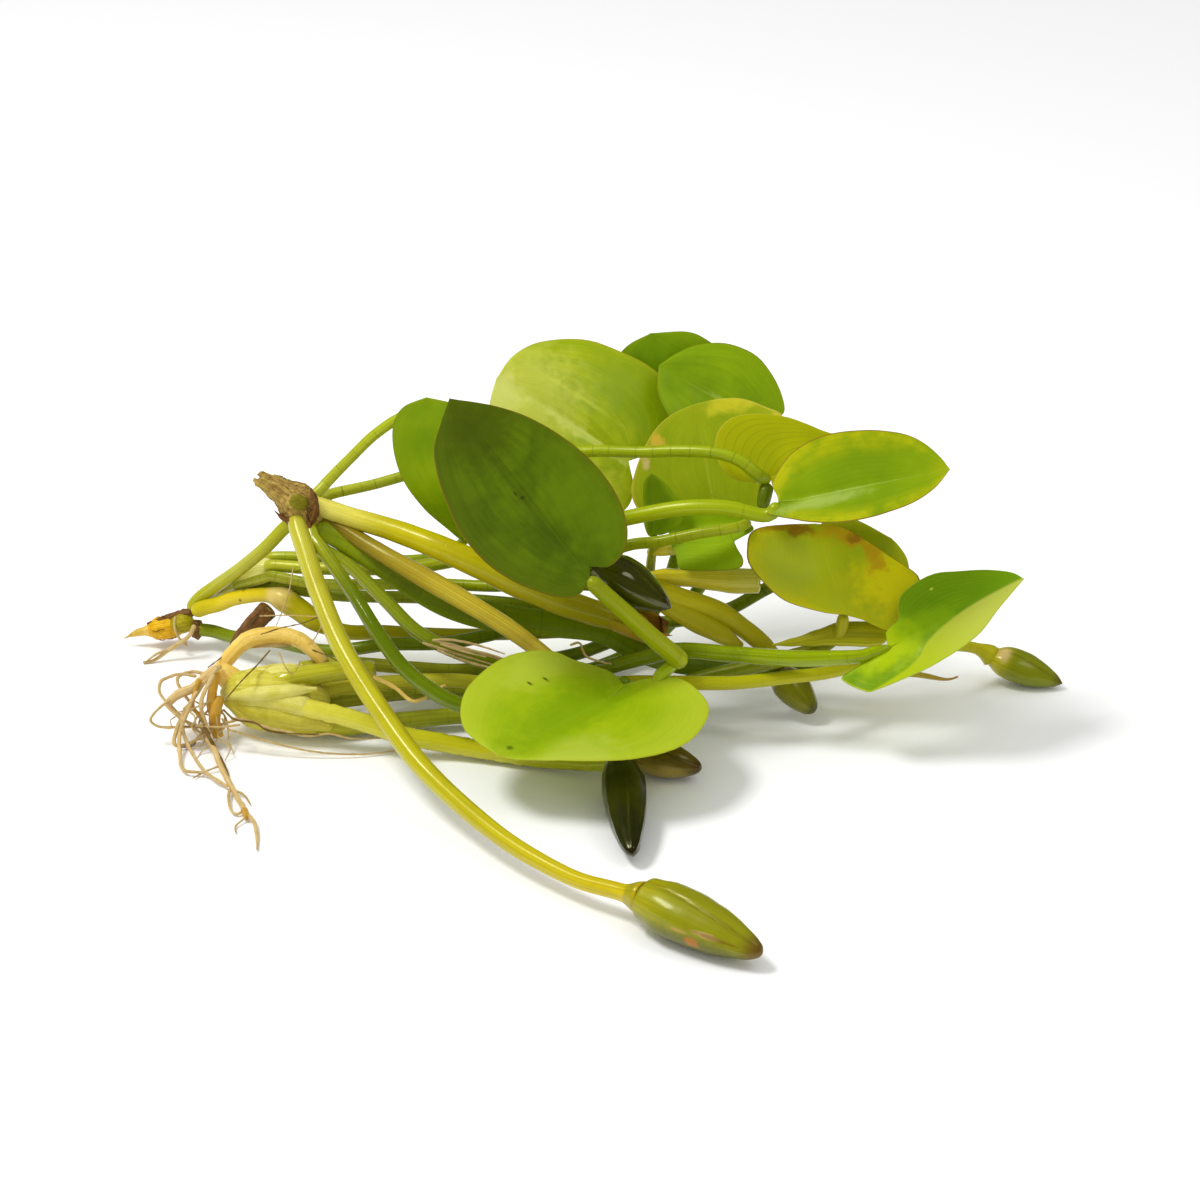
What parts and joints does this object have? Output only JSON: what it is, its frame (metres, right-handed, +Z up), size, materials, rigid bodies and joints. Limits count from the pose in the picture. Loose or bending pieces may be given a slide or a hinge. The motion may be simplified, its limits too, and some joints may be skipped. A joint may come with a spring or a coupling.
{
  "type": "water poppy plant",
  "caption": "Uprooted water poppy lying down: knobbly crowns with roots, long curved stems, glossy heart-shaped floating leaves and pointed flower buds.",
  "frame": {"origin": "on the surface that the plant lies on, under the middle of its outline", "axes": "+X from the crowns and roots towards the leaves, +Y away from the front bud, +Z up"},
  "size_m": [0.2008, 0.1487, 0.0704],
  "materials": {
    "leaf_green": "glossy mid-green leaf with fine parallel veins",
    "leaf_dark": "satin dark olive-green leaf with a thin brown rim",
    "leaf_bright": "glossy bright yellow-green leaf",
    "leaf_yellow": "yellowing leaf with orange and brown patches",
    "stem_yellow": "glossy yellow flower stalk with fine stripes",
    "stem_green": "glossy yellow-green leaf stalk with cross walls showing through",
    "stem_dark": "glossy dark green leaf stalk",
    "stem_brown": "brownish yellow striped stalk",
    "bud_green": "glossy olive-green bud with a brown tip",
    "bud_dark": "glossy black-green bud",
    "crown_brown": "rough brown fibrous rootstock",
    "crown_pale": "pale yellow-green striped leaf base",
    "root_tan": "matt tan root",
    "root_amber": "waxy amber root"
  },
  "bodies": {
    "root": {"crown_upper": "crown_brown", "crown_left": "crown_brown", "crown_main": "crown_pale", "sheath_left": "crown_pale", "sheath_cut": "crown_pale", "sheath_yellow": "stem_yellow", "bract_brown": "stem_brown", "bract_pointed": "stem_yellow", "dead_stub": "crown_brown", "rhizome_tip": "root_tan", "root_stub": "root_amber", "stolon_link": "stem_green", "peduncle_thick": "stem_yellow", "peduncle_yellow": "stem_yellow", "pedicel_glossy": "stem_green", "peduncle_front": "stem_yellow", "peduncle_dark": "crown_pale", "peduncle_brown": "stem_brown", "peduncle_right": "stem_green", "stalk_broad": "stem_dark", "petiole_far_left": "stem_green", "petiole_dark_front": "stem_green", "petiole_bright_back": "stem_green", "petiole_back_left": "stem_green", "petiole_back_right": "stem_green", "petiole_orange_rim": "stem_green", "petiole_rolled": "stem_green", "petiole_right": "stem_green", "petiole_mottled": "stem_green", "petiole_behind_right": "stem_dark", "petiole_folded": "stem_dark", "petiole_front": "stem_green", "petiole_small": "stem_yellow", "petiole_mid": "stem_green", "leaf_far_left": "leaf_green", "leaf_dark_front": "leaf_dark", "leaf_bright_back": "leaf_bright", "leaf_back_left": "leaf_green", "leaf_back_right": "leaf_green", "leaf_orange_rim": "leaf_yellow", "leaf_rolled": "leaf_yellow", "leaf_right": "leaf_green", "leaf_mottled": "leaf_yellow", "leaf_behind_right": "leaf_green", "leaf_folded": "leaf_bright", "leaf_front": "leaf_bright", "leaf_small": "leaf_green", "leaf_mid": "leaf_green", "bud_front": "bud_green", "bud_dark": "bud_dark", "bud_brown": "stem_brown", "bud_olive": "bud_dark", "bud_right": "bud_green", "bud_glossy": "bud_dark", "root_tangle": "root_tan", "root_trailing": "root_tan", "root_long": "root_tan", "root_forked": "root_tan"}
  },
  "joints": []
}
